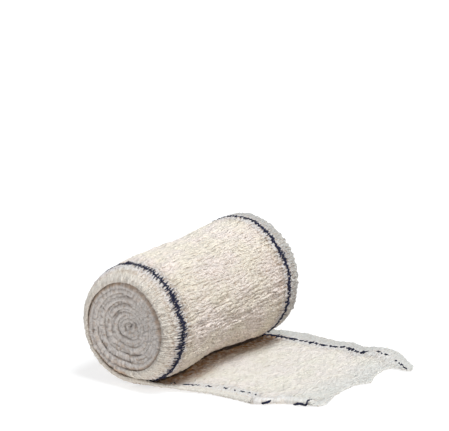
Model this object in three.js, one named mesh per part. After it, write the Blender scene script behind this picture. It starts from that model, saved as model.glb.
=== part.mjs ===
// A crepe bandage: one long strip of stretchy cotton cloth, wound into a roll that lies
// on its side, with the last few centimetres running out flat from under it.
//
// Millimetres. +Y runs along the roll, from its near end to its far end. +X is the way
// the loose end runs, and +Z is up. The origin is on the floor, under the roll's middle.

import * as THREE from "three";

// Driving sizes of the cloth and of the roll
const STRIP_WIDTH = 75;
const CLOTH = 1.8;
const TURNS = 13;
const ROLL_RADIUS = { near: 21.6, far: 23.1 };
const STRIPE_INSET = 6.5;

// How the wound cloth looks: outer turns are looser than inner ones, and the two woven
// edges are drawn in, the near one much more than the far one
const TURN_GROWTH = 1.1;
const RIM = {
  near: { drawIn: 0.185, reach: 7.5 },
  far: { drawIn: 0.022, reach: 5 },
};
const GROOVE_DEPTH = 1.1;
const OUTER_GROOVE_DEPTH = 2.4;
const CORE_OFFSET = 0.6;

// A soft roll isn't round: each row is one slow swelling, by its share of the radius
const UNEVENNESS = [
  { lobes: 2, share: 0.008, at: 60 },
  { lobes: 3, share: 0.007, at: 200 },
  { lobes: 5, share: 0.004, at: 20 },
];

// Swellings along the roll's upper side, by distance from the near edge
const SWELL = [
  { across: 0, high: 0 },
  { across: 8, high: 0.1 },
  { across: 20, high: 0.6 },
  { across: 36, high: -0.3 },
  { across: 50, high: -0.5 },
  { across: 64, high: 0 },
  { across: 75, high: 0 },
];

// The loose end's two woven edges on the floor, by distance out from under the roll
const LOOSE_EDGES = [
  { out: 0, near: -36, far: 39.2 },
  { out: 8, near: -32.4, far: 42.6 },
  { out: 16, near: -27.6, far: 46.4 },
  { out: 30, near: -24.6, far: 50 },
  { out: 38, near: -24.2, far: 50.5 },
  { out: 46, near: -23.8, far: 46.8 },
  { out: 54, near: -17.6, far: 48 },
  { out: 60, near: -15, far: 46.8 },
  { out: 72, near: -11, far: 39.5 },
];

// The cut end, not straight: its distance out, by share of the way across the strip
const CUT_END = [
  { share: 0, out: 65.2 },
  { share: 0.05, out: 66.4 },
  { share: 0.22, out: 64 },
  { share: 0.39, out: 63 },
  { share: 0.48, out: 64 },
  { share: 0.55, out: 66.4 },
  { share: 0.64, out: 64.4 },
  { share: 0.74, out: 63 },
  { share: 0.84, out: 63.8 },
  { share: 0.91, out: 69.6 },
  { share: 0.96, out: 71.2 },
  { share: 1, out: 70 },
];

// Where the loose end stands off the floor, and where it lies double
const RIPPLES = [
  { out: 55, across: 44.5, long: 9, wide: 5, high: 2.6 },
  { out: 68, across: 40, long: 4, wide: 4, high: 0.9 },
  { out: 22, across: 49, long: 12, wide: 5, high: 1.5 },
];
const FOLDS = [
  { out: 48, across: -23, long: 5, wide: 3.5, high: 1.2 },
  { out: 60, across: -15.5, long: 7, wide: 4, high: 1.5 },
];
const EDGE_SETTLE_LENGTH = 24;
const LIES_FLAT_UNDER = 0.3;

// How finely the surface is divided
const STEPS_A_TURN = 56;
const CREASE_STEP = 3;
const ROW_PLACES = [
  0, 1, 2.5, 4.5, 7.5, 12, 17, 23, 29, 35, 41, 47, 53, 58, 62.5, 66, 69, 71.5, 73.5, 75,
];
const LOOSE_STATIONS = 15;
const FIRST_STATION = 0.13;

// Straight lines between the rows of a table with named columns
function lookUp(table, key, value, at) {
  let row = 1;
  while (row < table.length - 1 && table[row][key] < at) row += 1;
  const from = table[row - 1];
  const to = table[row];
  const share = THREE.MathUtils.clamp((at - from[key]) / (to[key] - from[key]), 0, 1);
  return THREE.MathUtils.lerp(from[value], to[value], share);
}

// Radius of the wound body at the seam under the roll, and the height of its axis.
// The roll is slightly conical, and lies on the floor all along.
function outerRadius(y) {
  const stripe = STRIP_WIDTH / 2 - STRIPE_INSET;
  const share = (y + stripe) / (2 * stripe);
  return THREE.MathUtils.lerp(ROLL_RADIUS.near, ROLL_RADIUS.far, share) + CLOTH / 2;
}

// How far a woven edge is drawn in, as a share of the radius, by distance from the edge
function rimScale(rim, fromEdge) {
  const share = THREE.MathUtils.clamp(1 - fromEdge / rim.reach, 0, 1);
  return 1 - rim.drawIn * share ** 2.2;
}

function seamAngle(turn) {
  return 2 * Math.PI * (turn - 0.25);
}

function unevenness(angle) {
  let scale = 1;
  for (const { lobes, share, at } of UNEVENNESS) {
    scale += share * Math.cos(lobes * (angle - THREE.MathUtils.degToRad(at)));
  }
  return scale;
}

// A point of the spiral, or a share of a turn outside it. Whole turns end at the seam,
// straight under the axis.
function spiralPoint(turn, y, scale, outside = 0) {
  const angle = seamAngle(turn);
  const across = y + STRIP_WIDTH / 2;
  const upper = 0.5 + 0.5 * Math.sin(angle);
  const wrapped = (turn + outside) / TURNS;
  const swell = upper * lookUp(SWELL, "across", "high", across) * wrapped;
  const wound = outerRadius(y) * scale * wrapped ** TURN_GROWTH;
  const radius = wound * unevenness(angle) + swell;
  const z = outerRadius(y) + radius * Math.sin(angle);
  return new THREE.Vector3(radius * Math.cos(angle), y, z < LIES_FLAT_UNDER ? 0 : z);
}

// Over its last quarter turn the outer wrap slides sideways, towards the loose end's edges
function slide(turn, end) {
  const share = THREE.MathUtils.smoothstep(turn, TURNS - 0.3, TURNS);
  const edge = end * STRIP_WIDTH / 2;
  const target = end < 0 ? LOOSE_EDGES[0].near : LOOSE_EDGES[0].far;
  return share * (target - edge);
}

// The outer wrap's surface, by turn and by distance from the near edge
function wrapPoint(turn, place) {
  const near = -STRIP_WIDTH / 2 + slide(turn, -1);
  const far = STRIP_WIDTH / 2 + slide(turn, 1);
  const y = THREE.MathUtils.lerp(near, far, place / STRIP_WIDTH);
  const scale = rimScale(RIM.near, place) * rimScale(RIM.far, STRIP_WIDTH - place);
  return spiralPoint(turn, y, scale);
}

// A point on the roll's end: a groove between two turns, or the crest of one turn's edge
function endPoint(turn, end, depth, outside = 0) {
  const moved = slide(turn + outside * 2, end);
  const receded = Math.max(0, -end * moved);
  const rim = end < 0 ? RIM.near : RIM.far;
  const y = end * (STRIP_WIDTH / 2 - depth) + moved;
  return spiralPoint(turn, y, rimScale(rim, receded), outside);
}

function bumpHeight(bumps, x, y) {
  let height = 0;
  for (const { out, across, long, wide, high } of bumps) {
    height += high * Math.exp(-(((x - out) / long) ** 2) - ((y - across) / wide) ** 2);
  }
  return height;
}

// The loose end's underside and top, by share of its length and distance from the near edge
function loosePoint(share, place, side) {
  const way = place / STRIP_WIDTH;
  const x = share * lookUp(CUT_END, "share", "out", way);
  const near = lookUp(LOOSE_EDGES, "out", "near", x);
  const far = lookUp(LOOSE_EDGES, "out", "far", x);
  const y = THREE.MathUtils.lerp(near, far, way);
  const drawn = 1 - rimScale(RIM.near, place) * rimScale(RIM.far, STRIP_WIDTH - place);
  const settling = Math.max(0, 1 - x / EDGE_SETTLE_LENGTH) ** 2;
  const lift = outerRadius(y) * drawn * settling + bumpHeight(RIPPLES, x, y);
  const underside = lift < LIES_FLAT_UNDER ? 0 : lift;
  const thickness = CLOTH + bumpHeight(FOLDS, x, y);
  return new THREE.Vector3(x, y, side === "top" ? underside + thickness : underside);
}

// The cloth's whole surface is one loop for each row across the strip: up and round the
// roll from the crease where it meets the loose end, out along the floor, and back on top
function stripGeometry() {
  const positions = [];
  const triangles = [];
  const put = (point) => {
    positions.push(point.x, point.y, point.z);
    return positions.length / 3 - 1;
  };
  const face = (corners, flipped = false) => {
    const ring = flipped ? [...corners].reverse() : corners;
    for (let i = 1; i < ring.length - 1; i += 1) {
      triangles.push(ring[0], ring[i], ring[i + 1]);
    }
  };
  const stationShare = (i) => {
    return THREE.MathUtils.lerp(FIRST_STATION, 1, i / (LOOSE_STATIONS - 1));
  };

  const rows = ROW_PLACES.map((place) => {
    const wrapTurn = (step) => TURNS - 1 + step / STEPS_A_TURN;
    const crease = wrapPoint(wrapTurn(CREASE_STEP), place);
    const under = loosePoint(FIRST_STATION, place, "top");
    const wrap = [put(crease.lerp(under.setX(crease.x), 0.5))];
    for (let step = CREASE_STEP + 1; step <= STEPS_A_TURN; step += 1) {
      wrap.push(put(wrapPoint(wrapTurn(step), place)));
    }
    const floor = [];
    const top = [];
    for (let i = 0; i < LOOSE_STATIONS; i += 1) {
      floor.push(put(loosePoint(stationShare(i), place, "underside")));
      top.push(put(loosePoint(stationShare(i), place, "top")));
    }
    return { wrap, floor, top, loop: [...wrap, ...floor, ...[...top].reverse()] };
  });

  for (let r = 0; r < rows.length - 1; r += 1) {
    const here = rows[r].loop;
    const next = rows[r + 1].loop;
    for (let i = 0; i < here.length; i += 1) {
      const j = (i + 1) % here.length;
      face([here[i], next[i], next[j], here[j]]);
    }
  }

  for (const end of [-1, 1]) closeEnd(end, end < 0 ? rows[0] : rows[rows.length - 1]);

  // The wound edges of one end, as a spiral of grooves and crests, and the thin edge of
  // the loose end beside it
  function closeEnd(end, row) {
    const flipped = end > 0;
    const lastGroove = (TURNS - 1) * STEPS_A_TURN;
    const outerTurn = lastGroove - STEPS_A_TURN;
    const groove = [];
    const crest = [];
    for (let k = 0; k <= lastGroove; k += 1) {
      const step = k - outerTurn;
      const turn = 1 + k / STEPS_A_TURN;
      const depth = step > -STEPS_A_TURN / 2 ? OUTER_GROOVE_DEPTH : GROOVE_DEPTH;
      const onWrap = step >= CREASE_STEP;
      groove.push(onWrap ? row.wrap[step - CREASE_STEP] : put(endPoint(turn, end, depth)));
    }
    for (let k = 0; k <= outerTurn; k += 1) {
      crest.push(put(endPoint(1 + k / STEPS_A_TURN, end, 0, 0.5)));
    }
    for (let k = 0; k < outerTurn; k += 1) {
      const over = k + STEPS_A_TURN;
      face([groove[k], crest[k], crest[k + 1], groove[k + 1]], flipped);
      face([crest[k], groove[over], groove[over + 1], crest[k + 1]], flipped);
    }

    const core = endPoint(1, end, GROOVE_DEPTH);
    const centre = put(new THREE.Vector3(-CORE_OFFSET, core.y, outerRadius(core.y)));
    for (let k = 0; k < STEPS_A_TURN; k += 1) {
      face([centre, groove[k], groove[k + 1]], flipped);
    }
    face([centre, groove[STEPS_A_TURN], crest[0]], flipped);
    face([centre, crest[0], groove[0]], flipped);

    const { wrap, floor, top } = row;
    const underRoll = groove.slice(outerTurn, outerTurn + CREASE_STEP).reverse();
    const seam = wrap[wrap.length - 1];
    face([floor[0], top[0], wrap[0], ...underRoll, crest[outerTurn], seam], flipped);
    for (let i = 0; i < LOOSE_STATIONS - 1; i += 1) {
      face([floor[i], floor[i + 1], top[i + 1], top[i]], flipped);
    }
  }

  const geometry = new THREE.BufferGeometry();
  geometry.setAttribute("position", new THREE.Float32BufferAttribute(positions, 3));
  geometry.setIndex(triangles);
  geometry.computeVertexNormals();
  return geometry;
}

const crepeCotton = new THREE.MeshStandardMaterial({
  color: 0xe6ded0,
  roughness: 0.95,
  metalness: 0,
});

const bandage = new THREE.Mesh(stripGeometry(), crepeCotton);
bandage.name = "crepe_bandage";

const group = new THREE.Group();
group.add(bandage);

export default group;
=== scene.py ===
import math
import random

import bmesh
import bpy
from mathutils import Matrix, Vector, noise


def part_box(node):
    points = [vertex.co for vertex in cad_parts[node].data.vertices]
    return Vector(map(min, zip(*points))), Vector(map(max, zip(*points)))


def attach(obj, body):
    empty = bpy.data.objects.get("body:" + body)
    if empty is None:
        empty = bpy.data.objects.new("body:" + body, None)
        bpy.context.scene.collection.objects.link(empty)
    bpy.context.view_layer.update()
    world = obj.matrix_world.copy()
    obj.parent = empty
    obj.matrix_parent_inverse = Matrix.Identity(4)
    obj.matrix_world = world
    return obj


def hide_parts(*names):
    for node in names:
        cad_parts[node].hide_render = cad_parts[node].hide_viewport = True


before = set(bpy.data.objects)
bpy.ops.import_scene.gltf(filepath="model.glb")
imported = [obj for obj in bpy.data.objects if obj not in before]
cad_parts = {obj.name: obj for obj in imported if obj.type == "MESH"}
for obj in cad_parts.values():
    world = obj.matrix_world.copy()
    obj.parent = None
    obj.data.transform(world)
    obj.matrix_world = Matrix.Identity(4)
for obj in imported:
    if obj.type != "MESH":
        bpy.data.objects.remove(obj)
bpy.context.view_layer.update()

# The camera stands a metre off, above the roll's near end and to the right of it, with a
# long lens. The floor point under the middle of the roll lies at ORIGIN_PIXEL.
PICTURE = (449, 431)
ORIGIN_PIXEL = (189.3, 361.6)
FOCAL_PIXELS = 2767
VIEW_AZIMUTH = math.radians(36.17)
VIEW_ELEVATION = math.radians(15.88)
VIEW_DISTANCE = 1.0
SENSOR_WIDTH = 36

view_right = Vector((math.cos(VIEW_AZIMUTH), math.sin(VIEW_AZIMUTH), 0))
view_back = Vector((
    math.sin(VIEW_AZIMUTH) * math.cos(VIEW_ELEVATION),
    -math.cos(VIEW_AZIMUTH) * math.cos(VIEW_ELEVATION),
    math.sin(VIEW_ELEVATION),
))
view_up = view_back.cross(view_right)
pixel = VIEW_DISTANCE / FOCAL_PIXELS
origin_right = (ORIGIN_PIXEL[0] - PICTURE[0] / 2) * pixel
origin_down = (ORIGIN_PIXEL[1] - PICTURE[1] / 2) * pixel

lens = bpy.data.cameras.new("camera")
lens.sensor_width = SENSOR_WIDTH
lens.lens = FOCAL_PIXELS * SENSOR_WIDTH / PICTURE[0]
lens.clip_end = 20
camera = bpy.data.objects.new("camera", lens)
bpy.context.collection.objects.link(camera)
camera.location = view_back * VIEW_DISTANCE - view_right * origin_right + view_up * origin_down
camera.rotation_mode = "QUATERNION"
camera.rotation_quaternion = (-view_back).to_track_quat("-Z", "Y")
bpy.context.scene.camera = camera
bpy.context.scene.view_settings.view_transform = "Standard"

# The inner turns: twelve of the thirteen turns of the strip, wound tight. Only their
# woven edges show, at the roll's two ends, as rings of soft cloth with dark gaps between.
MM = 0.001
STRIP_WIDTH = -2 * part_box("crepe_bandage")[0].y / MM
NEAR_END = -STRIP_WIDTH / 2
FAR_END = STRIP_WIDTH / 2
CLOTH_THICKNESS = 1.8
BODY_THICKNESS = 1.15
THICKEST = 2.6
CLOTH_MIDDLE = 0.8
TURNS = 13
WRAP_START = 12
CORE_START = 0.4
TURN_GROWTH = 1.1
NEAR_RADIUS = 21.6
FAR_RADIUS = 23.1
STRIPE_INSET = 6.5
NEAR_RIM = dict(drawn_in=0.185, reach=7.5)
FAR_RIM = dict(drawn_in=0.022, reach=5)
RIM_CURVE = 2.2
UNEVENNESS = [
    dict(lobes=2, share=0.008, at=60),
    dict(lobes=3, share=0.007, at=200),
    dict(lobes=5, share=0.004, at=20),
]
SWELL = [
    dict(across=0, high=0),
    dict(across=8, high=0.1),
    dict(across=20, high=0.6),
    dict(across=36, high=-0.3),
    dict(across=50, high=-0.5),
    dict(across=64, high=0),
    dict(across=75, high=0),
]
LOWER_SWELL = [
    dict(across=0, high=0),
    dict(across=10, high=0.2),
    dict(across=18, high=0.7),
    dict(across=27, high=-0.3),
    dict(across=36, high=-1.5),
    dict(across=43, high=-1.6),
    dict(across=52, high=-0.6),
    dict(across=62, high=0),
    dict(across=75, high=0),
]
LOWER_RIGHT = math.radians(-50)
LOWER_SPREAD = 0.55
LUMPS = dict(size=10, high=0.35, off_the_table=0.25)
# The first turns are too tight to stray, and take less of each shift and of the lumps.
TIGHT_TURNS = dict(shift=2, lumps=4)
# Where the woven edges of two turns stand apart: the outer turn of the two, half the gap's
# length in degrees, and how wide and how deep it is.
NEAR_GAPS = [
    dict(turn=12.36, spread=62, open=3.2, deep=7.0),
    dict(turn=12.74, spread=34, open=0.38, deep=3.0),
    dict(turn=12.98, spread=26, open=0.85, deep=4.0),
    dict(turn=11.95, spread=40, open=1.7, deep=4.0),
    dict(turn=11.72, spread=42, open=0.65, deep=2.5),
    dict(turn=10.45, spread=50, open=0.20, deep=2.0),
    dict(turn=7.95, spread=40, open=0.30, deep=2.0),
    dict(turn=5.20, spread=60, open=0.25, deep=2.0),
]
FAR_GAPS = [
    dict(turn=12.55, spread=60, open=0.5, deep=2.5),
    dict(turn=11.20, spread=50, open=0.4, deep=2.0),
    dict(turn=9.70, spread=60, open=0.4, deep=2.0),
    dict(turn=6.90, spread=70, open=0.35, deep=2.0),
]
GAPS_REACH = 30
# How much of a turn inside a gap the cloth takes to follow it.
GAP_STARTS = 0.4
GAP_FULL = 0.6


def clamp(value, low=0.0, high=1.0):
    return max(low, min(high, value))


def blend(start, end, share):
    return start + (end - start) * share


def ease(value, start, end):
    share = clamp((value - start) / (end - start))
    return share * share * (3 - 2 * share)


def bell(value):
    return math.exp(-value * value)


def curve_through(table, key, value, at):
    """A smooth curve through the rows of a table."""
    last = len(table) - 1
    row = 0
    while row < last - 1 and table[row + 1][key] < at:
        row += 1
    before, start, end, after = (table[clamp(i, 0, last)] for i in range(row - 1, row + 3))
    span = end[key] - start[key]
    share = clamp((at - start[key]) / span)
    slope_in = (end[value] - before[value]) / max(end[key] - before[key], 1e-6) * span
    slope_out = (after[value] - start[value]) / max(after[key] - start[key], 1e-6) * span
    square, cube = share**2, share**3
    return (
        (2 * cube - 3 * square + 1) * start[value]
        + (cube - 2 * square + share) * slope_in
        + (3 * square - 2 * cube) * end[value]
        + (cube - square) * slope_out
    )


def wrinkle(x, y=0.0, seed=0.0):
    return noise.noise(Vector((x, y, seed)))


def outer_radius(y):
    stripe = STRIP_WIDTH / 2 - STRIPE_INSET
    return blend(NEAR_RADIUS, FAR_RADIUS, (y + stripe) / (2 * stripe)) + CLOTH_THICKNESS / 2


def drawn_in(across, loosened=1.0):
    """How far the cloth at this distance from the near edge is drawn in, as a share."""
    drawn = 0.0
    for rim, from_edge in ((NEAR_RIM, across), (FAR_RIM, STRIP_WIDTH - across)):
        drawn += rim["drawn_in"] * clamp(1 - from_edge / rim["reach"]) ** RIM_CURVE
    return drawn * loosened


def uneven(angle):
    return sum(
        lobe["share"] * math.cos(lobe["lobes"] * (angle - math.radians(lobe["at"])))
        for lobe in UNEVENNESS
    )


def angle_at(turn):
    """Every whole turn ends under the roll, a quarter turn short of its right side."""
    return 2 * math.pi * (turn - 0.25)


def turned_from(start, angle):
    """How far one angle lies from another, at most half a turn either way."""
    return (angle - start + math.pi) % (2 * math.pi) - math.pi


def gap_shift(turn, angle, across):
    """How far the gaps outside this turn push its edges inwards."""
    shift = 0.0
    for gaps, from_edge in ((NEAR_GAPS, across), (FAR_GAPS, STRIP_WIDTH - across)):
        if from_edge > GAPS_REACH:
            continue
        for gap in gaps:
            if turn > gap["turn"] - GAP_STARTS:
                continue
            turned = turned_from(angle_at(gap["turn"]), angle)
            inside = 1 - ease(turn, gap["turn"] - GAP_FULL, gap["turn"] - GAP_STARTS)
            width = gap["open"] * inside * bell(turned / math.radians(gap["spread"]))
            shift += width * math.exp(-max(0, from_edge) / gap["deep"]) * turn / gap["turn"]
    return shift


def wound_point(turn, y, across, outward, loosened=1.0):
    """A point of the spiral; outward is its distance from the outermost cloth's surface."""
    angle = angle_at(turn)
    scale = 1 - drawn_in(across, loosened) + uneven(angle)
    upper = 0.5 + 0.5 * math.sin(angle)
    swell = upper * curve_through(SWELL, "across", "high", across) * turn / TURNS
    radius = outer_radius(y) * scale * (turn / TURNS) ** TURN_GROWTH + swell
    radius += outward * min(1, turn / TIGHT_TURNS["shift"])
    radius -= gap_shift(turn, angle, across)
    turned = turned_from(LOWER_RIGHT, angle)
    lower_swell = curve_through(LOWER_SWELL, "across", "high", across)
    radius += lower_swell * bell(turned / LOWER_SPREAD) * turn / TURNS
    place = Vector((radius * math.cos(angle), radius * math.sin(angle), y))
    lump = LUMPS["high"] * noise.noise(place / LUMPS["size"])
    off_the_table = ease(1 + math.sin(angle), 0, LUMPS["off_the_table"])
    radius += lump * min(1, turn / TIGHT_TURNS["lumps"]) * off_the_table
    return Vector((radius * math.cos(angle), y, outer_radius(y) + radius * math.sin(angle)))


FULL_LENGTH = 2 * math.pi * (NEAR_RADIUS + FAR_RADIUS) / 2 * TURNS / (TURN_GROWTH + 1)


def length_wound(turn):
    """Length of strip from the core to a turn."""
    start = (CORE_START / TURNS) ** (TURN_GROWTH + 1)
    return FULL_LENGTH * ((turn / TURNS) ** (TURN_GROWTH + 1) - start)


def turn_at(length):
    whole = length / FULL_LENGTH + (CORE_START / TURNS) ** (TURN_GROWTH + 1)
    return TURNS * whole ** (1 / (TURN_GROWTH + 1))


WRAP_LENGTH = length_wound(TURNS) - length_wound(WRAP_START)


EDGE_ROUND = 0.6
THIN_EDGE = 0.22


def edge_round(from_edge, radius=EDGE_ROUND):
    """The share of its thickness that cloth has, close to its rounded woven edge."""
    inside = clamp(1 - from_edge / radius)
    return blend(THIN_EDGE, 1.0, math.sqrt(1 - inside * inside))


# The crinkles: ridges across the body of the strip, finer teeth that are strongest beside
# the stripes, and small knots. Each row of WRINKLES bends, breaks or lifts one of them.
RIDGE_SPACING = 1.35
TOOTH_SPACING = 0.98
RIDGE_HEIGHT = 0.62
TOOTH_HEIGHT = 0.12
TOOTH_HEIGHT_BY_STRIPE = 0.5
STRONGER_BY_STRIPE = 0.12
MEAN_FOLD = 0.64
BODY_FROM_EDGE = (5.5, 10)
BY_STRIPE = dict(at=6, spread=5, from_edge=(0.8, 4.5))
WRINKLES = {
    "ridge_bends": dict(long=5.5, wide=12, high=0.8, seed=1),
    "ridge_breaks": dict(long=1.9, wide=3.2, high=0.75, seed=2),
    "ridge_patches": dict(long=2.2, wide=3.2, high=1.8, seed=3, mean=0.75, least=0.1, most=1.6),
    "tooth_bends": dict(long=3.6, wide=9, high=0.6, seed=5),
    "tooth_breaks": dict(long=1.3, wide=2.5, high=0.25, seed=8),
    "tooth_patches": dict(long=1, wide=1.3, high=2.6, seed=9, mean=0.55, least=0, most=1.3),
    "knots": dict(long=0.85, wide=1.5, high=0.7, seed=4),
    "swells": dict(long=5, wide=18, high=0.6, seed=6),
    "creases": dict(long=2.6, wide=13, high=1, seed=17),
}


def wrinkled(name, along, across):
    row = WRINKLES[name]
    return row["high"] * wrinkle(along / row["long"], across / row["wide"], row["seed"])


def patchy(name, along, across):
    row = WRINKLES[name]
    return clamp(row["mean"] + wrinkled(name, along, across), row["least"], row["most"])


def pleat(phase):
    return abs(math.sin(math.pi * phase)) - MEAN_FOLD


def crepe(along, across, strength=1.0):
    """How high the crinkles stand, the phases of the body's ridges and of the fine teeth,
    and how strong all of them are."""
    from_edge = min(across, STRIP_WIDTH - across)
    body = ease(from_edge, *BODY_FROM_EDGE)
    by_stripe = bell((from_edge - BY_STRIPE["at"]) / BY_STRIPE["spread"])
    by_stripe *= ease(from_edge, *BY_STRIPE["from_edge"])
    ridge = along / RIDGE_SPACING + wrinkled("ridge_bends", along, across)
    ridge += wrinkled("ridge_breaks", along, across)
    tooth = along / TOOTH_SPACING + wrinkled("tooth_bends", along, across)
    tooth += wrinkled("tooth_breaks", along, across)
    height = RIDGE_HEIGHT * pleat(ridge) * body * patchy("ridge_patches", along, across)
    tooth_height = blend(TOOTH_HEIGHT, TOOTH_HEIGHT_BY_STRIPE, by_stripe)
    height += tooth_height * pleat(tooth) * patchy("tooth_patches", along, across)
    height += wrinkled("knots", along, across)
    slow = wrinkled("swells", along, across) + wrinkled("creases", along, across)
    height += slow * body * strength
    strength *= 1 + STRONGER_BY_STRIPE * by_stripe
    return height * strength, ridge, tooth, strength


# The layers that each piece of cloth carries to its finish. The depth layer says how much painted
# shade its cloth takes.
CREPE_LAYERS = ("height", "ridge", "tooth", "strength", "depth", "thin", "inside")
THINNEST_SHARE = 0.05


def cloth_piece(name, columns, rows, point_at):
    """A sheet of cloth from a grid. For each of its points, point_at gives the place, the
    flat place on the strip, the values of the layers, and the thickness."""
    grid = bmesh.new()
    bmesh.ops.create_grid(grid, x_segments=columns, y_segments=rows, size=0.5)
    strip_map = grid.loops.layers.uv.new("strip")
    layers = [grid.verts.layers.float.new(kind) for kind in CREPE_LAYERS]
    flat_places = {}
    thicknesses = {}
    for vert in grid.verts:
        place, flat_place, relief, thickness = point_at(vert.co.x + 0.5, vert.co.y + 0.5)
        flat_places[vert] = Vector(flat_place) * MM
        thicknesses[vert.index] = clamp((thickness + 2 * relief[0]) / THICKEST, THINNEST_SHARE)
        vert.co = place * MM
        for layer, value in zip(layers, relief):
            vert[layer] = value
    for face in grid.faces:
        face.smooth = True
        for loop in face.loops:
            loop[strip_map].uv = flat_places[loop.vert]
    bmesh.ops.reverse_faces(grid, faces=grid.faces)
    mesh = bpy.data.meshes.new(name)
    grid.to_mesh(mesh)
    grid.free()
    piece = bpy.data.objects.new(name, mesh)
    bpy.context.collection.objects.link(piece)
    thickness_group = piece.vertex_groups.new(name="thickness")
    for index, share in thicknesses.items():
        thickness_group.add([index], share, "REPLACE")
    both_faces = piece.modifiers.new("thickness", "SOLIDIFY")
    both_faces.thickness = THICKEST * MM
    both_faces.offset = 0
    both_faces.vertex_group = "thickness"
    return piece


INNER_COLUMNS = 1350
INNER_ROWS = 33
INNER_CRINKLE = 0.4
# How far the woven edges stand in from the strip's ends: sunk more at one side of the near
# end, hollow towards the core, every second turn a little more, and uneven all along.
SUNK = dict(all_round=0.4, more=1.3, at=0.36, spread=0.22)
NEAR_HOLLOW = 1.8
FAR_HOLLOW = 1.4
EVERY_SECOND = dict(high=0.35, phase=0.6)
NEAR_WAVES = [
    dict(length=13, high=0.9, seed=0),
    dict(length=4, high=0.6, seed=3),
    dict(length=1.1, high=0.6, seed=0),
]
FAR_WAVES = [
    dict(length=1.9, high=0.3, seed=5),
    dict(length=16, high=0.7, seed=5),
]
WALL_WAVES = dict(long=20, wide=30, high=0.25, seed=11)
PUFFED_EDGE = dict(extra=0.5, radius=1.2, flattens=(1.4, 5))
CORE_THIN = dict(share=0.85, until=1.4)
# How much painted shade, in brown, lies on the cloth between the turns: hardly near the core,
# more between the outer turns, and most in the open gap at the bottom of the near end.
TURN_GAP_SHADE = dict(inner=0.05, outer=0.62, turns=(10.6, 11.2), from_edge=(0.1, 0.8))
LOWEST_GAP_SHADE = dict(more=0.6, turn=11.93, spread=0.12, from_edge=(0.7, 2))


def waves(rows, along):
    return sum(row["high"] * wrinkle(along / row["length"], row["seed"]) for row in rows)


def inner_turns_point(along_share, across_share):
    along = along_share * length_wound(WRAP_START)
    turn = turn_at(along)
    hollow = 1 - (turn / WRAP_START) ** 2
    turned = (turn - SUNK["at"] + 0.5) % 1 - 0.5
    near = NEAR_END + SUNK["all_round"] + SUNK["more"] * bell(turned / SUNK["spread"])
    near += NEAR_HOLLOW * hollow + waves(NEAR_WAVES, along)
    near += EVERY_SECOND["high"] * math.cos(math.pi * turn + EVERY_SECOND["phase"])
    far = FAR_END - FAR_HOLLOW * hollow + waves(FAR_WAVES, along)
    rowed = 0.5 - 0.5 * math.cos(math.pi * across_share)
    across = rowed * STRIP_WIDTH
    from_edge = min(across, STRIP_WIDTH - across)
    y = blend(near, far, rowed)
    pitch = TURN_GROWTH * outer_radius(y) * (1 - drawn_in(across)) / TURNS
    pitch *= (turn / TURNS) ** (TURN_GROWTH - 1)
    depth = blend(TURN_GAP_SHADE["inner"], TURN_GAP_SHADE["outer"], ease(turn, *TURN_GAP_SHADE["turns"]))
    depth *= ease(from_edge, *TURN_GAP_SHADE["from_edge"])
    lowest = bell((turn - LOWEST_GAP_SHADE["turn"]) / LOWEST_GAP_SHADE["spread"])
    depth += LOWEST_GAP_SHADE["more"] * lowest * ease(from_edge, *LOWEST_GAP_SHADE["from_edge"])
    relief = (*crepe(along, across, INNER_CRINKLE), depth, 0, 1)
    flat = ease(from_edge, *PUFFED_EDGE["flattens"])
    thickness = blend(pitch + PUFFED_EDGE["extra"], BODY_THICKNESS, flat)
    thickness *= edge_round(from_edge, PUFFED_EDGE["radius"])
    thickness *= blend(CORE_THIN["share"], 1, ease(turn, CORE_START, CORE_THIN["until"]))
    shift = along / WALL_WAVES["long"], across / WALL_WAVES["wide"], WALL_WAVES["seed"]
    outward = WALL_WAVES["high"] * wrinkle(*shift) - CLOTH_MIDDLE
    place = wound_point(turn, y, across, outward)
    return place, (along, across), relief, thickness


inner_turns = cloth_piece("inner_turns", INNER_COLUMNS, INNER_ROWS, inner_turns_point)


class Value:
    """A number or colour inside a finish. Sums with it add Math nodes."""

    def __init__(self, finish, socket):
        self.finish = finish
        self.socket = socket

    def sum(self, operation, *operands):
        sockets = dict(enumerate(operands))
        return self.finish.node("ShaderNodeMath", {"operation": operation}, sockets)

    def __add__(self, other):
        return self.sum("ADD", self, other)

    def __sub__(self, other):
        return self.sum("SUBTRACT", self, other)

    def __rsub__(self, other):
        return self.sum("SUBTRACT", other, self)

    def __mul__(self, other):
        return self.sum("MULTIPLY", self, other)

    def __truediv__(self, other):
        return self.sum("DIVIDE", self, other)

    def __abs__(self):
        return self.sum("ABSOLUTE", self)

    __radd__ = __add__
    __rmul__ = __mul__

    def sine(self):
        return self.sum("SINE", self)

    def between(self, start, end):
        settings = {"interpolation_type": "SMOOTHSTEP"}
        sockets = {"Value": self, "From Min": start, "From Max": end}
        return self.finish.node("ShaderNodeMapRange", settings, sockets)


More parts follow.
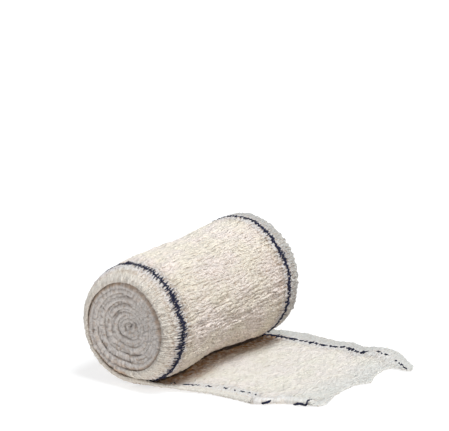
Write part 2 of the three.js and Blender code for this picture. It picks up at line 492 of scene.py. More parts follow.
class Finish:
    """A material, with its shader and one method that adds any other node."""

    def __init__(self, name):
        self.material = bpy.data.materials.new(name)
        self.material.use_nodes = True
        self.nodes = self.material.node_tree.nodes
        self.links = self.material.node_tree.links
        self.shader = self.nodes["Principled BSDF"]

    def feed(self, socket, value):
        if isinstance(value, Value):
            self.links.new(value.socket, socket)
        else:
            socket.default_value = value

    def node(self, kind, settings=None, sockets=None, output=0):
        made = self.nodes.new(kind)
        for name, value in (settings or {}).items():
            setattr(made, name, value)
        for name, value in (sockets or {}).items():
            self.feed(made.inputs[name], value)
        return Value(self, made.outputs[output])

    def mix(self, share, first, second):
        settings = {"data_type": "RGBA"}
        return self.node("ShaderNodeMix", settings, {0: share, 6: first, 7: second}, output=2)

    def attribute(self, name):
        return self.node("ShaderNodeAttribute", {"attribute_name": name}, output="Fac")

    def lumps(self, per_metre, detail=2):
        """Noise that sits still on the object."""
        place = self.node("ShaderNodeTexCoord", output="Object")
        sockets = {"Vector": place, "Scale": per_metre, "Detail": detail}
        return self.node("ShaderNodeTexNoise", sockets=sockets)

    def bump(self, height, distance, strength=1.0):
        sockets = {"Strength": strength, "Distance": distance * MM, "Height": height}
        return self.node("ShaderNodeBump", sockets=sockets)

    def shade(self, **sockets):
        for name, value in sockets.items():
            socket = name.replace("_", " ").title().replace("Ior", "IOR")
            self.feed(self.shader.inputs[socket], value)


CREAM = (0.93, 0.845, 0.715, 1)
ROSY_CREAM = (0.94, 0.83, 0.76, 1)
# The colours from here on are painted shade: brown in the wedge under the roll and where the wrap
# starts on the table, brown in the gaps between the turns, grey-green at the far margin under the
# roll, near black where the roll meets the loose end, and brown in the crinkles.
OUTER_BROWN = (0.42, 0.215, 0.085, 1)
INSIDE_BROWN = (0.59, 0.41, 0.28, 1)
FAR_MARGIN_SHADE = (0.36, 0.39, 0.36, 1)
DEEPEST_BROWN = (0.09, 0.055, 0.036, 1)
CRINKLE_SHADE_BROWN = (0.44, 0.30, 0.20, 1)
# The tints that come over the cream, one after the other. Of these, the grey over the inner
# turns is partly their own duller tone and partly painted shade on the roll's ends, the one
# between the turns is painted shade deeper in the gaps, and the grey at the far margin is
# painted shade where that rim curls away from the light.
TINTS = {
    "woven_edge": dict(share=1, colour=(0.80, 0.74, 0.66, 1)),
    "beside_stripes": dict(share=0.75, colour=(0.80, 0.78, 0.785, 1)),
    "inside": dict(share=0.75, colour=(0.655, 0.617, 0.60, 1)),
    "between_turns": dict(share=0.45, colour=(0.52, 0.465, 0.435, 1)),
    "far_margin": dict(share=0.75, colour=(0.46, 0.47, 0.465, 1)),
    "thin": dict(share=0.9, colour=(0.62, 0.615, 0.58, 1)),
}
# Where each change over the cloth starts and where it is complete. The first eight are in
# millimetres from a woven edge. The others go by the phase of the ridges and teeth, by
# their height and their strength, and by the depth of the painted shade.
SPANS = {
    "body": (6, 10),
    "by_stripe": (14, 8),
    "woven_edge": (4.5, 1),
    "past_edge": (2.5, 5),
    "before_body": (11, 8),
    "between_turns": (0.25, 1.1),
    "crumbs": (1.5, 3),
    "far_margin": (6.5, 3),
    "ridge_valleys": (0.45, 0.95),
    "tooth_valleys": (0.35, 0.95),
    "low_places": (0.1, -0.75),
    "rough": (0.35, 1.2),
    "pitted": (0.4, 1.2),
    "raised": (0.3, 1.3),
    "deepest": (0.9, 1.6),
}
# The speckles of the cloth: their size along and across the strip in millimetres, and for
# those that leave marks, the levels of the noise where a mark starts and is complete.
SPECKLES = {
    "patches": dict(long=9.0, wide=14.0, detail=2.0, seed=4.0, shows=(0.35, 0.65)),
    "mottles": dict(long=2.0, wide=1.4, detail=2.0, seed=25.0, shows=(0.35, 0.6)),
    "breaks": dict(long=1.3, wide=2.6, detail=2.0, seed=3.0, shows=(0.42, 0.6)),
    "specks": dict(long=0.5, wide=1.5, detail=3.0, seed=9.0, shows=(0.48, 0.3)),
    "streaks": dict(long=0.8, wide=3.2, detail=2.0, seed=13.0, shows=(0.5, 0.3)),
    "pits": dict(long=0.9, wide=1.1, detail=1.0, seed=31.0, shows=(0.44, 0.35)),
    "crumbs": dict(long=1.0, wide=1.2, detail=1.0, seed=37.0, shows=(0.52, 0.38)),
    "threads": dict(long=0.22, wide=0.3, detail=1.0, seed=2.0),
}
KNOTS = dict(per_metre=1300, in_teeth=(0.40, 0.62), dots=(0.42, 0.3))
HOLES = dict(per_metre=620, shows=(0.44, 0.34))
# How much painted shade each mark puts on the cloth, and how far each one stands up in the
# bump.
DARKENS = {
    "specks": 0.132, "dots": 0.088, "low_places": 0.209, "by_stripe": 0.12, "crumbs": 0.42,
    "holes": 0.4, "pits": 0.6, "lines": 0.62, "dashes": 0.6, "streaks": 0.35,
}
STANDS_UP = {"specks": 1.2, "threads": 0.2, "streaks": 2.0, "lines": -0.3}
BUMP_HEIGHT = 2.0


def crepe_cotton():
    cloth = Finish("crepe_cotton")
    strip = cloth.node("ShaderNodeUVMap", {"uv_map": "strip"})
    along = cloth.node("ShaderNodeSeparateXYZ", sockets={0: strip}) * (1 / MM)
    across = cloth.node("ShaderNodeSeparateXYZ", sockets={0: strip}, output=1) * (1 / MM)
    noises = {}
    marks = {}
    for name, row in SPECKLES.items():
        sockets = {"X": along / row["long"], "Y": across / row["wide"], "Z": row["seed"]}
        vector = cloth.node("ShaderNodeCombineXYZ", sockets=sockets)
        sockets = {"Vector": vector, "Scale": 1.0, "Detail": row["detail"]}
        noises[name] = cloth.node("ShaderNodeTexNoise", sockets=sockets)
        if "shows" in row:
            marks[name] = noises[name].between(*row["shows"])
    knots = cloth.lumps(KNOTS["per_metre"])

    height = cloth.attribute("height")
    strength = cloth.attribute("strength")
    depth = cloth.attribute("depth")
    thin = cloth.attribute("thin")
    inside = cloth.attribute("inside")
    ridge = 1 - abs((cloth.attribute("ridge") * math.pi).sine())
    tooth = 1 - abs((cloth.attribute("tooth") * math.pi).sine())
    from_edge = STRIP_WIDTH / 2 - abs(across - STRIP_WIDTH / 2)
    body = from_edge.between(*SPANS["body"])
    by_stripe = from_edge.between(*SPANS["by_stripe"])
    beside = from_edge.between(*SPANS["past_edge"]) * from_edge.between(*SPANS["before_body"])
    far_margin = (STRIP_WIDTH - across).between(*SPANS["far_margin"]) * (1 - inside)

    tinted = {
        "woven_edge": from_edge.between(*SPANS["woven_edge"]),
        "beside_stripes": beside,
        "inside": inside,
        "between_turns": from_edge.between(*SPANS["between_turns"]) * inside,
        "far_margin": far_margin,
        "thin": thin,
    }
    plain = cloth.mix(marks["patches"], CREAM, ROSY_CREAM)
    for name, mask in tinted.items():
        plain = cloth.mix(mask * TINTS[name]["share"], plain, TINTS[name]["colour"])
    # Painted shade from the depth layer, darkest where that layer is deepest.
    brown = cloth.mix(inside, OUTER_BROWN, INSIDE_BROWN)
    shade_colour = cloth.mix(far_margin, brown, FAR_MARGIN_SHADE)
    plain = cloth.mix(depth * (marks["mottles"] * 0.7 + 0.45), plain, shade_colour)
    plain = cloth.mix(depth.between(*SPANS["deepest"]), plain, DEEPEST_BROWN)

    # Painted shade in the crinkles, which darkens the cloth towards one brown: in the valleys of
    # the ridges and teeth, in low places, pits, streaks and holes, and between the knots. The
    # specks and crumbs add some of the yarn's own grain as well.
    line = ridge.between(*SPANS["ridge_valleys"]) * marks["breaks"] * body
    dash = tooth.between(*SPANS["tooth_valleys"]) * knots.between(*KNOTS["in_teeth"])
    dash = dash * (by_stripe * 0.8 + 0.25) * (strength * 0.6 + 0.35)
    rough = strength.between(*SPANS["rough"]) + by_stripe * 0.65
    low = height.between(*SPANS["low_places"])
    pits = marks["pits"] * strength.between(*SPANS["pitted"]) * body
    crumbs = marks["crumbs"] * by_stripe * from_edge.between(*SPANS["crumbs"])
    crumbs = crumbs * (1 - thin) * (1 - far_margin * 0.5)
    holes = cloth.lumps(HOLES["per_metre"]).between(*HOLES["shows"]) * inside
    creased = body * (strength * 1.1 - 0.35 + thin * 0.35)
    speck = marks["specks"]
    dot = knots.between(*KNOTS["dots"])
    shadow = speck * DARKENS["specks"] + dot * DARKENS["dots"] + low * DARKENS["low_places"]
    shadow = shadow * rough * (1 - thin * 0.4)
    shadow = shadow + (speck + dot) * by_stripe * (1 - thin) * DARKENS["by_stripe"]
    shadow = shadow + crumbs * DARKENS["crumbs"] + holes * DARKENS["holes"]
    shadow = shadow + pits * DARKENS["pits"] + dash * DARKENS["dashes"]
    shadow = shadow + line * strength * strength * DARKENS["lines"]
    shadow = shadow + marks["streaks"] * creased * DARKENS["streaks"]
    crinkle_shaded = cloth.mix(shadow, plain, CRINKLE_SHADE_BROWN)

    relief = knots + noises["specks"] * STANDS_UP["specks"]
    relief = relief * (strength.between(*SPANS["raised"]) * 1.05 + 0.12)
    relief = relief + noises["threads"] * STANDS_UP["threads"]
    relief = relief + noises["streaks"] * creased * STANDS_UP["streaks"]
    relief = relief + (line + dash) * strength * STANDS_UP["lines"]
    bump = cloth.bump(relief * (1 - thin * 0.5), BUMP_HEIGHT)
    cloth.shade(base_color=crinkle_shaded, roughness=0.94, normal=bump)
    cloth.shade(sheen_weight=0.15, specular_ior_level=0.2)
    return cloth.material


cotton = crepe_cotton()
inner_turns.data.materials.append(cotton)
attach(inner_turns, "root")
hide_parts("crepe_bandage")

# The outer wrap: the last turn of the strip, wound over all the others. Crinkled crepe
# between two flat woven edges, of which the near one is drawn in over the roll's end.
STRIP_EDGES = [
    dict(out=-43, near=-37.5, far=37.5, drawn=1.0),
    dict(out=-20, near=-37.0, far=38.3, drawn=0.96),
    dict(out=0, near=-36.2, far=41.5, drawn=0.76),
    dict(out=8, near=-33.9, far=44.9, drawn=0.52),
    dict(out=14, near=-30.8, far=46.2, drawn=0.34),
    dict(out=20, near=-27.9, far=46.7, drawn=0.18),
    dict(out=27, near=-25.1, far=46.6, drawn=0.07),
    dict(out=34, near=-24.2, far=47.2, drawn=0.0),
    dict(out=39, near=-24.0, far=49.2, drawn=0.0),
    dict(out=46, near=-23.8, far=47.2, drawn=0.0),
    dict(out=54, near=-17.6, far=48.0, drawn=0.0),
    dict(out=60, near=-15.0, far=46.8, drawn=0.0),
    dict(out=72, near=-11.0, far=39.5, drawn=0.0),
]
EDGE_WAVES = {
    "near": [dict(length=2.2, high=0.3, seed=0), dict(length=0.75, high=0.3, seed=4)],
    "far": [dict(length=2.2, high=0.3, seed=9), dict(length=0.75, high=0.3, seed=13)],
}
WRAP_COLUMNS = 520
WRAP_ROWS = 92
ROWS_GATHERED = 0.35
EDGE_THICKNESS = 1.45
EDGE_THINS = (0.5, 4)
PRESSED = dict(flattest=0.51, deepest=0.89, at=-101, spread=25)
# The brown shade on the wrap, where it starts close to the table.
START_SHADE = dict(depth=0.2, full=11, ends=24, from_edge=(3, 8))


def strip_edge(side, out):
    """Where the near or the far edge lies, by distance out from the seam under the roll."""
    edge = curve_through(STRIP_EDGES, "out", side, out)
    return edge + waves(EDGE_WAVES[side], WRAP_LENGTH + out)


def cloth_thickness(from_edge):
    full = blend(EDGE_THICKNESS, BODY_THICKNESS, ease(from_edge, *EDGE_THINS))
    return full * edge_round(from_edge)


def rows_across(share):
    """Rows lie closer together near the two woven edges."""
    return STRIP_WIDTH * (share - ROWS_GATHERED * math.sin(2 * math.pi * share) / (2 * math.pi))


def wrap_middle(out, across):
    turn = turn_at(length_wound(TURNS) + out)
    y = blend(strip_edge("near", out), strip_edge("far", out), across / STRIP_WIDTH)
    loosened = curve_through(STRIP_EDGES, "out", "drawn", out)
    return wound_point(turn, y, across, -CLOTH_MIDDLE, loosened)


def pressed(out):
    """The crinkles are deepest on the roll's right side, and pressed flatter elsewhere."""
    right_side = bell((out - PRESSED["at"]) / PRESSED["spread"])
    return blend(PRESSED["flattest"], PRESSED["deepest"], right_side)


def outer_wrap_point(along_share, across_share):
    across = rows_across(across_share)
    along = along_share * WRAP_LENGTH
    out = along - WRAP_LENGTH
    from_edge = min(across, STRIP_WIDTH - across)
    shaded = START_SHADE["depth"] * ease(along, START_SHADE["ends"], START_SHADE["full"])
    shaded *= ease(from_edge, *START_SHADE["from_edge"])
    relief = (*crepe(along, across, pressed(out)), shaded)
    return wrap_middle(out, across), (along, across), relief, cloth_thickness(from_edge)


outer_wrap = cloth_piece("outer_wrap", WRAP_COLUMNS, WRAP_ROWS, outer_wrap_point)
outer_wrap.data.materials.append(cotton)
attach(outer_wrap, "root")
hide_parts("crepe_bandage")

# The loose end: the same strip where it has come off the roll and lies on the table, up to
# the ragged cut. Its near edge is turned under in two places, and its far corner is pulled out.
CUT_END = [
    dict(share=0, out=65.2),
    dict(share=0.05, out=66.4),
    dict(share=0.22, out=64),
    dict(share=0.39, out=63),
    dict(share=0.48, out=64),
    dict(share=0.55, out=66.4),
    dict(share=0.64, out=64.4),
    dict(share=0.74, out=63),
    dict(share=0.84, out=63.8),
    dict(share=0.91, out=69.6),
    dict(share=0.96, out=71.2),
    dict(share=1, out=70),
]
TURNED_UNDER = [
    dict(out=0, deep=0),
    dict(out=43.5, deep=0),
    dict(out=46.6, deep=6.3),
    dict(out=49.4, deep=6.5),
    dict(out=50.4, deep=6.0),
    dict(out=51.8, deep=4.2),
    dict(out=54.2, deep=4.2),
    dict(out=56, deep=6.9),
    dict(out=58.8, deep=6.6),
    dict(out=61.1, deep=6.9),
    dict(out=61.8, deep=5.6),
    dict(out=62.4, deep=3.2),
    dict(out=63.2, deep=0),
    dict(out=75, deep=0),
]
RIPPLES = [
    dict(out=9, across=-3, long=5, wide=11, high=0.6),
    dict(out=22, across=49, long=16, wide=5, high=1.3),
    dict(out=55, across=44.5, long=9, wide=5, high=2.4),
    dict(out=68, across=40, long=4, wide=4, high=0.4),
    dict(out=40, across=14, long=3.5, wide=20, high=0.35),
    dict(out=30, across=-4, long=3, wide=12, high=0.3),
]
LOOSE_COLUMNS = 260
LOOSE_ROWS = 130
BEND_RADIUS = 0.65
BEND_LETS_GO = 6
DRAWN_IN_UNTIL = 34
THIN_CLOTH = 0.76
LOOSE_MIDDLE = 0.7
CRINKLES_LEAN = 0.17
TURNED_FLATTER = 0.8
# How deep the edge is turned under where the fold starts and where it is full, and how far
# past the fold the crinkles stay flat.
FOLD_DEEP = (0, 3)
PAST_FOLD = (0.5, 3.5)
# Where each change along the loose end starts and is complete, from the seam or the cut.
RIPPLES_RISE = (0, 6)
CLOTH_SETTLES = (4, 16)
ROUNDNESS_GOES = (0, 24)
CRINKLES_TURN = (5, 30)
CLOTH_SLACKENS = (0, 10)
CUT_OPENS = (1, 9)
CUT_THICKNESS = 0.5
PALE_FROM_SEAM = (2, 10)
PALER_BY_CUT = (16, 1)
PALE_SHARE = 0.5
# The ragged cut, and the wavy front of the shadow in the wedge between roll and loose end.
RAGGED = [
    dict(length=2.2, high=0.5, seed=7),
    dict(length=0.7, high=0.35, seed=8),
]
RAGGED_NEAR_CUT = 12
WEDGE = dict(from_seam=7.3, with_swell=1.4, from_near=(1.2, 4))
WEDGE_FAR_MARGIN = dict(share=0.45, from_far=(3, 8))
WEDGE_SHADE = dict(depth=0.9, full=1.5, ends=10)
CONTACT_LINE = dict(depth=0.75, full=-1.1, ends=0.4)
WEDGE_WAVES = [
    dict(length=5, slant=0, high=1.6, seed=21),
    dict(length=1.5, slant=1 / 3, high=0.6, seed=22),
]


def bump_height(bumps, x, y):
    height = 0.0
    for bump in bumps:
        reach = ((x - bump["out"]) / bump["long"]) ** 2 + ((y - bump["across"]) / bump["wide"]) ** 2
        height += bump["high"] * math.exp(-reach)
    return height


def loose_middle(x, across):
    """The middle of the cloth, with the near edge turned under where the table says so."""
    near = strip_edge("near", x)
    far = strip_edge("far", x)
    deep = max(0.0, curve_through(TURNED_UNDER, "out", "deep", x))
    bend = BEND_RADIUS * ease(deep, *FOLD_DEEP)
    half_bend = bend * math.pi / 2
    past_fold = across - deep
    if past_fold >= half_bend:
        way = (past_fold - half_bend) / (STRIP_WIDTH - deep - half_bend)
        y = blend(near + bend, far, way)
        raised = 2 * bend * (1 - ease(past_fold, deep, deep + BEND_LETS_GO))
    elif past_fold > -half_bend:
        turned = past_fold / bend
        y = near + bend * (1 - math.cos(turned))
        raised = bend * (1 + math.sin(turned))
    else:
        y = near + bend - past_fold - half_bend
        raised = 0.0
    middle = blend(CLOTH_MIDDLE, LOOSE_MIDDLE, ease(x, *CLOTH_SETTLES))
    loosened = curve_through(STRIP_EDGES, "out", "drawn", x) if x < DRAWN_IN_UNTIL else 0.0
    roundness = 1 - ease(x, *ROUNDNESS_GOES)
    lift = outer_radius(y) * (drawn_in(across, loosened) - uneven(-math.pi / 2) * roundness)
    z = middle + raised + lift + bump_height(RIPPLES, x, y) * ease(x, *RIPPLES_RISE)
    return Vector((x, y, z))


def loose_strength(x, across):
    """How strong the crinkles still are on the loose end; hardly at the turned-under edge."""
    deep = max(0.0, curve_through(TURNED_UNDER, "out", "deep", x))
    turned = ease(deep, *FOLD_DEEP) * (1 - ease(across - deep, *PAST_FOLD))
    return pressed(x) * (1 - TURNED_FLATTER * turned)


def loose_thinness(x, cut):
    """The cloth lies flatter where it is slack, and is thin and open at the cut."""
    from_cut = cut - x
    thinness = blend(1, THIN_CLOTH, ease(x, *CLOTH_SLACKENS))
    thinness *= blend(CUT_THICKNESS, 1, ease(from_cut, *CUT_OPENS))
    return thinness * edge_round(from_cut + 0.1, 1)


def leaning_crepe(x, across, y):
    """The crinkles of the loose end, which lean a little towards the roll's far side."""
    leaning = WRAP_LENGTH + x - CRINKLES_LEAN * y * ease(x, *CRINKLES_TURN)
    return crepe(leaning, across, loose_strength(x, across))


def wedge_shade(x, y, across):
    """Brown where the light hardly gets in under the roll, and black where the cloths meet."""
    wavy = sum(
        row["high"] * wrinkle(y / row["length"], x * row["slant"], row["seed"])
        for row in WEDGE_WAVES
    )
    swell = curve_through(LOWER_SWELL, "across", "high", across)
    beyond = x - WEDGE["from_seam"] - WEDGE["with_swell"] * swell
    shaded = WEDGE_SHADE["depth"] * ease(beyond + wavy, WEDGE_SHADE["ends"], WEDGE_SHADE["full"])
    in_contact = ease(beyond + wavy / 2, CONTACT_LINE["ends"], CONTACT_LINE["full"])
    shaded += CONTACT_LINE["depth"] * in_contact
    from_far = ease(STRIP_WIDTH - across, *WEDGE_FAR_MARGIN["from_far"])
    shaded *= ease(across, *WEDGE["from_near"])
    return shaded * blend(WEDGE_FAR_MARGIN["share"], 1, from_far)


def loose_end_point(along_share, across_share):
    across = rows_across(across_share)
    cut = curve_through(CUT_END, "share", "out", across / STRIP_WIDTH)
    ragged = sum(row["high"] * wrinkle(across / row["length"], 0, row["seed"]) for row in RAGGED)
    x = along_share * cut + along_share**RAGGED_NEAR_CUT * ragged
    middle = loose_middle(x, across)
    thin = blend(PALE_SHARE, 1, ease(cut - x, *PALER_BY_CUT)) * ease(x, *PALE_FROM_SEAM)
    shaded = wedge_shade(x, middle.y, across)
    relief = (*leaning_crepe(x, across, middle.y), shaded, thin)
    thickness = cloth_thickness(min(across, STRIP_WIDTH - across)) * loose_thinness(x, cut)
    return middle, (WRAP_LENGTH + x, across), relief, thickness


loose_end = cloth_piece("loose_end", LOOSE_COLUMNS, LOOSE_ROWS, loose_end_point)
loose_end.data.materials.append(cotton)
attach(loose_end, "root")
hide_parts("crepe_bandage")

# The two stripes: dark blue yarn woven in along both edges. A plied core runs lengthwise,
# and short stitches cross it, so that the stripe has a spiky outline.
random.seed(7)
NEAR_INSET = 6.4
FAR_INSET = STRIP_WIDTH - 6.2
STRIPES = {
    "near_stripe": dict(
        inset=NEAR_INSET, core=0.33, weave=0.7, reach=1.7, stitch=0.50, pitch=1.1
    ),
    "far_stripe": dict(
        inset=FAR_INSET, core=0.42, weave=0.9, reach=1.1, stitch=0.42, pitch=1.15
    ),
}
FADED = {
    "near_stripe": dict(core=0.42, weave=0.3, reach=0.3, stitch=0.26),
    "far_stripe": dict(core=0.44, weave=0.3, reach=0.3, stitch=0.28),
}
BOLD = {
    "near_stripe": dict(core=0.66, weave=0.03, reach=0.25, stitch=0.36),
    "far_stripe": dict(core=0.46, weave=1.0, reach=0.9, stitch=0.34),
}
ROLL_RUN = (-WRAP_LENGTH + 2, -0.2)
# Where the stripes still show on the loose end: pale broken bits, and then the bold ones.
FADED_RUNS = {
    "near_stripe": [
        (11, 12.6), (15, 19.5), (19.8, 20.6), (22.5, 24.8), (29, 30.5), (33, 34), (35.6, 37.6),
        (38.7, 39.8), (42, 42.6),
    ],
    "far_stripe": [
        (53.4, 54.6), (55.2, 56), (56.8, 58), (62, 63.2), (64.4, 65), (65.6, 66.8), (67.2, 69.8),
    ],
}
BOLD_RUNS = {
    "near_stripe": [(48.2, 50.4), (56.8, 62.2)],
    "far_stripe": [
        (0.2, 19.5), (20.6, 21.8), (22.6, 24), (24.6, 26.2), (27, 28.2), (29, 32.2), (33, 36.4),
        (37, 38.6), (39.4, 43.6), (44.2, 46.6), (47.2, 49.6),
    ],
}
PLIES = (0, 2.1, 4.2)
PLY_TWIST = 1.5
PLY_SHARE = 0.2
CORE_STEP = 0.18
STITCH_POINTS = (-1, -0.75, -0.5, -0.25, 0, 0.25, 0.5, 0.75, 1)
STITCH_LIFT = 0.2
STITCH_END_LIFT = -0.06
STITCH_TAPER = 0.55
PITCH_VARIES = (0.75, 1.25)
REACH_VARIES = (0.6, 1.35)
SLANTS = (0.1, 0.5)
BEHIND_DRIFT = dict(high=1.6, at=-54, spread=14)
# The yarn lies finest behind the roll. From there round to the table it grows bolder over
# the top and down the right side, and finer again at the bottom.
BOLDNESS_BEHIND = 0.4
BOLDNESS_STEPS = [
    dict(start=56, end=66, more=0.38),
    dict(start=70, end=92, more=0.3),
    dict(start=105, end=117, more=-0.36),
]
# The waves of the yarn: their length along the stripe, how far they go, and a seed.
YARN_WAVES = {
    "wander": dict(length=7, high=0.45, seed=13),
    "jog": dict(length=1.7, high=0.5, seed=19),
    "swing": dict(length=0.75, high=1.9, seed=12),
    "swing_swells": dict(length=4, high=1.2, seed=15),
    "slack": dict(length=0.8, high=0.25, seed=16),
    "fullness": dict(length=0.9, high=0.5, seed=14),
}
YARN_BRIDGES = -0.02
ENDS_TAPER = dict(least=0.4, slope=4)
TINY = 0.05
SAME_PLACE = 0.01


def visible_side(out, across):
    """A point in the middle of the cloth, and the direction out of its visible face."""
    middle = wrap_middle if out < 0 else loose_middle
    side = -1 if out < 0 else 1
    lengthwise = middle(out + TINY, across) - middle(out - TINY, across)
    crosswise = middle(out, across + TINY) - middle(out, across - TINY)
    return middle(out, across), side * lengthwise.cross(crosswise).normalized()


def on_cloth(out, across, lift):
    """A point by its distance over the cloth's visible face; yarn bridges the crinkles."""
    middle, outward = visible_side(out, across)
    half = cloth_thickness(min(across, STRIP_WIDTH - across)) / 2
    if out < 0:
        height = crepe(WRAP_LENGTH + out, across, pressed(out))[0]
    else:
        half *= loose_thinness(out, curve_through(CUT_END, "share", "out", across / STRIP_WIDTH))
        height = leaning_crepe(out, across, middle.y)[0]
    return middle + outward * (half + max(height, YARN_BRIDGES) + lift)


def yarn_piece(name, strands):
    """Round yarn along each strand, a list of points with their thickness."""
    curve = bpy.data.curves.new(name, "CURVE")
    curve.dimensions = "3D"
    curve.bevel_depth = MM / 2
    curve.bevel_resolution = 1
    curve.use_fill_caps = True
    for strand in strands:
        spline = curve.splines.new("POLY")
        spline.points.add(len(strand) - 1)
        for point, (place, thickness) in zip(spline.points, strand):
            point.co = (*(place * MM), 1)
            point.radius = thickness
    laid = bpy.data.objects.new(name, curve)
    bpy.context.collection.objects.link(laid)
    shown = laid.evaluated_get(bpy.context.evaluated_depsgraph_get())
    mesh = bpy.data.meshes.new_from_object(shown)
    bpy.data.objects.remove(laid)
    yarn = bmesh.new()
    yarn.from_mesh(mesh)
    bmesh.ops.remove_doubles(yarn, verts=yarn.verts, dist=SAME_PLACE * MM)
    bmesh.ops.recalc_face_normals(yarn, faces=yarn.faces)
    yarn.to_mesh(mesh)
    yarn.free()
    mesh.name = name
    piece = bpy.data.objects.new(name, mesh)
    bpy.context.collection.objects.link(piece)
    return piece


def boldness(out):
    """How thick the yarn lies; out is below 0 on the roll."""
    if out > 0:
        return 1.0
    steps = (step["more"] * ease(-out, step["start"], step["end"]) for step in BOLDNESS_STEPS)
    return BOLDNESS_BEHIND + sum(steps)


def yarn_wave(name, out, strand):
    row = YARN_WAVES[name]
    return row["high"] * wrinkle(out / row["length"], strand, row["seed"])


def wander(out, inset):
    """How far the stripe strays sideways; on the roll it also jogs in short steps."""
    strayed = yarn_wave("wander", out, inset)
    if out > 0:
        return strayed
    strayed += yarn_wave("jog", out, inset)
    if inset == NEAR_INSET:
        behind = bell((out - BEHIND_DRIFT["at"]) / BEHIND_DRIFT["spread"])
        strayed += BEHIND_DRIFT["high"] * behind
    return strayed


def core_strand(inset, core, weave, ply, start, end):
    """One ply of the core, which swings from side to side and thins at both its ends."""
    strand = []
    steps = max(4, round((end - start) / CORE_STEP))
    for step in range(steps + 1):
        out = blend(start, end, step / steps)
        twist = 2 * math.pi * out / PLY_TWIST + ply
        swing = yarn_wave("swing", out, ply) * (1 + yarn_wave("swing_swells", out, inset))
        sway = wander(out, inset) + weave * swing * boldness(out)
        across = inset + sway + core * PLY_SHARE * math.cos(twist)
        lift = core * PLY_SHARE * math.sin(twist)
        if out > 0:
            lift += yarn_wave("slack", out, ply)
        from_end = min(step, steps - step) / steps
        fade = min(1, ENDS_TAPER["least"] + ENDS_TAPER["slope"] * from_end)
        full = core * boldness(out) * (1 + yarn_wave("fullness", out, ply))
        strand.append((on_cloth(out, across, lift), full * fade))
    return strand


def stitch_strand(inset, stitch, out, low, high, slant):
    """One short stitch across the core, thick in its middle and tucked in at its ends."""
    strand = []
    middle = inset + wander(out, inset)
    for way in STITCH_POINTS:
        across = middle + way * (low if way < 0 else high)
        lift = blend(STITCH_LIFT, STITCH_END_LIFT, way**2)
        place = on_cloth(out + way * slant, across, lift)
        strand.append((place, stitch * blend(1, STITCH_TAPER, way**2)))
    return strand


def stripe_strands(inset, core, weave, reach, stitch, pitch, runs):
    """A plied core that wanders from side to side, and the short stitches across it."""
    strands = []
    for start, end in runs:
        strands += [core_strand(inset, core, weave, ply, start, end) for ply in PLIES]
        out = start
        while out < end - pitch:
            out += pitch * random.uniform(*PITCH_VARIES)
            low = reach * boldness(out) * random.uniform(*REACH_VARIES)
            high = reach * boldness(out) * random.uniform(*REACH_VARIES)
            slant = random.uniform(*SLANTS)
            strands.append(stitch_strand(inset, stitch, out, low, high, slant))
    return strands


DARK_NAVY = (0.004, 0.005, 0.020, 1)
NAVY = (0.014, 0.016, 0.050, 1)
TUFTS = dict(per_metre=900, detail=3)
TUFTS_SHOW = (0.35, 0.7)
THREADS = dict(per_metre=4200, detail=2)
THREADS_STAND_UP = 0.15


def stripe_yarn():
    yarn = Finish("stripe_thread")
    navy = yarn.mix(yarn.lumps(**TUFTS).between(*TUFTS_SHOW), DARK_NAVY, NAVY)
    bump = yarn.bump(yarn.lumps(**THREADS), THREADS_STAND_UP, strength=0.7)
    yarn.shade(base_color=navy, roughness=0.85, normal=bump)
    yarn.shade(sheen_weight=0.1, specular_ior_level=0.25)
    return yarn.material


navy_yarn = stripe_yarn()
for name, sizes in STRIPES.items():
    strands = stripe_strands(**sizes, runs=[ROLL_RUN])
    strands += stripe_strands(**(sizes | FADED[name]), runs=FADED_RUNS[name])
    strands += stripe_strands(**(sizes | BOLD[name]), runs=BOLD_RUNS[name])
    stripe = yarn_piece(name, strands)
    stripe.data.materials.append(navy_yarn)
    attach(stripe, "root")

# Stray fibres: fine cotton hairs that have worked loose and stand off the crepe. Most of
# them grow along the two woven edges, where the strip has been handled.
FIBRES = 1500
FIBRE_THICKNESS = 0.11
# What is left of its thickness after each bend of a fibre.
FIBRE_THINS = (0.9, 0.7, 0.5)
AT_THE_EDGES = 0.65
FIRST_ROOT = 3 - WRAP_LENGTH
LAST_ROOT = 62
EDGE_ROOTS = (0.3, 2.5)
BODY_ROOTS = (8, STRIP_WIDTH - 8)
STANDS_OUT = (0.15, 0.6)
FIBRE_STEPS = (0.2, 0.55)
FIBRE_LEAN = 0.45
FIBRE_CURL = 0.8
BEND_CURL = 0.35
BEND_DROOP = 0.25
ROOT_LIFT = -0.12


def fibre_root():
    """A random place on the strip that shows, and which way across the strip it leans."""
    out = random.uniform(FIRST_ROOT, LAST_ROOT)
    lean = random.choice((-1, 1))
    if random.random() < AT_THE_EDGES:
        from_edge = random.uniform(*EDGE_ROOTS)
        across = from_edge if lean < 0 else STRIP_WIDTH - from_edge
    else:
        across = random.uniform(*BODY_ROOTS)
    return out, across, lean


def fibre_strands():
    strands = []
    for _ in range(FIBRES):
        out, across, lean = fibre_root()
        place = on_cloth(out, across, ROOT_LIFT)
        outward = visible_side(out, across)[1]
        curl = Vector([random.uniform(-1, 1) for axis in range(3)])
        way = outward * random.uniform(*STANDS_OUT) + curl * FIBRE_CURL
        way += Vector((0, FIBRE_LEAN * lean, 0))
        step = random.uniform(*FIBRE_STEPS)
        strand = [(place, FIBRE_THICKNESS)]
        for share in FIBRE_THINS:
            way = (way + curl * BEND_CURL - outward * BEND_DROOP).normalized()
            curl = Vector((curl.y, curl.z, curl.x))
            place = place + way * step
            place.z = max(place.z, FIBRE_THICKNESS)
            strand.append((place, FIBRE_THICKNESS * share))
        strands.append(strand)
    return strands


HAIR_CREAM = (0.93, 0.85, 0.74, 1)
HAIR_WHITE = (0.90, 0.86, 0.80, 1)
HAIR_TONES = dict(per_metre=700, shows=(0.35, 0.65))


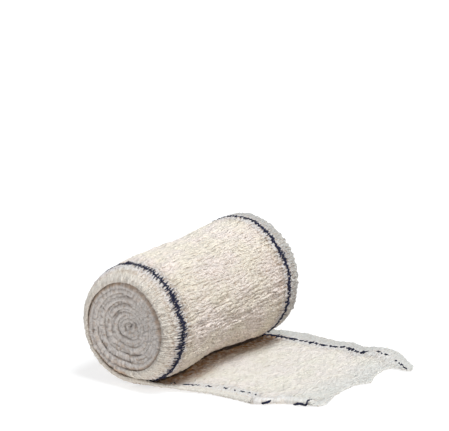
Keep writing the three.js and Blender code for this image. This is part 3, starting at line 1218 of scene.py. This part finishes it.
def fibre_cotton():
    hair = Finish("fibre_cotton")
    tone = hair.lumps(HAIR_TONES["per_metre"]).between(*HAIR_TONES["shows"])
    cream = hair.mix(tone, HAIR_CREAM, HAIR_WHITE)
    hair.shade(base_color=cream, roughness=0.9, specular_ior_level=0.2)
    return hair.material


stray_fibres = yarn_piece("stray_fibres", fibre_strands())
stray_fibres.data.materials.append(fibre_cotton())
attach(stray_fibres, "root")

# The floor is a plain pale surface. It glows a little by itself, which leaves only a faint
# shadow beside the roll.
FLOOR_SIZE = 6.0
FLOOR_GREY = (0.36, 0.36, 0.36, 1)
FLOOR_GLOW = 0.70
WHITE = (1, 1, 1, 1)
slab = bmesh.new()
bmesh.ops.create_grid(slab, x_segments=1, y_segments=1, size=FLOOR_SIZE / 2)
floor_mesh = bpy.data.meshes.new("floor")
slab.to_mesh(floor_mesh)
slab.free()
floor = bpy.data.objects.new("floor", floor_mesh)
bpy.context.collection.objects.link(floor)
paper = Finish("pale_floor")
paper.shade(
    base_color=FLOOR_GREY, roughness=0.9, emission_color=WHITE, emission_strength=FLOOR_GLOW
)
floor.data.materials.append(paper.material)

# Soft studio light: a broad lamp over the roll and to its right, a weaker warm one low in
# front and to the right, and a pale room.
LAMPS = {
    "over_roll": dict(place=(0.36, 0.0, 1.0), power=2.91, spread=26, tint=(0.945, 1, 1.035)),
    "low_front": dict(place=(0.92, -0.28, 0.03), power=1.21, spread=60, tint=(1.12, 1, 0.85)),
}
ROOM_LIGHT = (0.98, 1.0, 1.05, 1)
ROOM_STRENGTH = 0.40
for name, lamp in LAMPS.items():
    light = bpy.data.lights.new(name, "SUN")
    light.energy = lamp["power"]
    light.angle = math.radians(lamp["spread"])
    light.color = lamp["tint"]
    holder = bpy.data.objects.new(name, light)
    holder.rotation_mode = "QUATERNION"
    holder.rotation_quaternion = (-Vector(lamp["place"])).to_track_quat("-Z", "Y")
    bpy.context.collection.objects.link(holder)
room = bpy.data.worlds.new("room")
room.use_nodes = True
background = room.node_tree.nodes["Background"]
background.inputs["Color"].default_value = ROOM_LIGHT
background.inputs["Strength"].default_value = ROOM_STRENGTH
bpy.context.scene.world = room
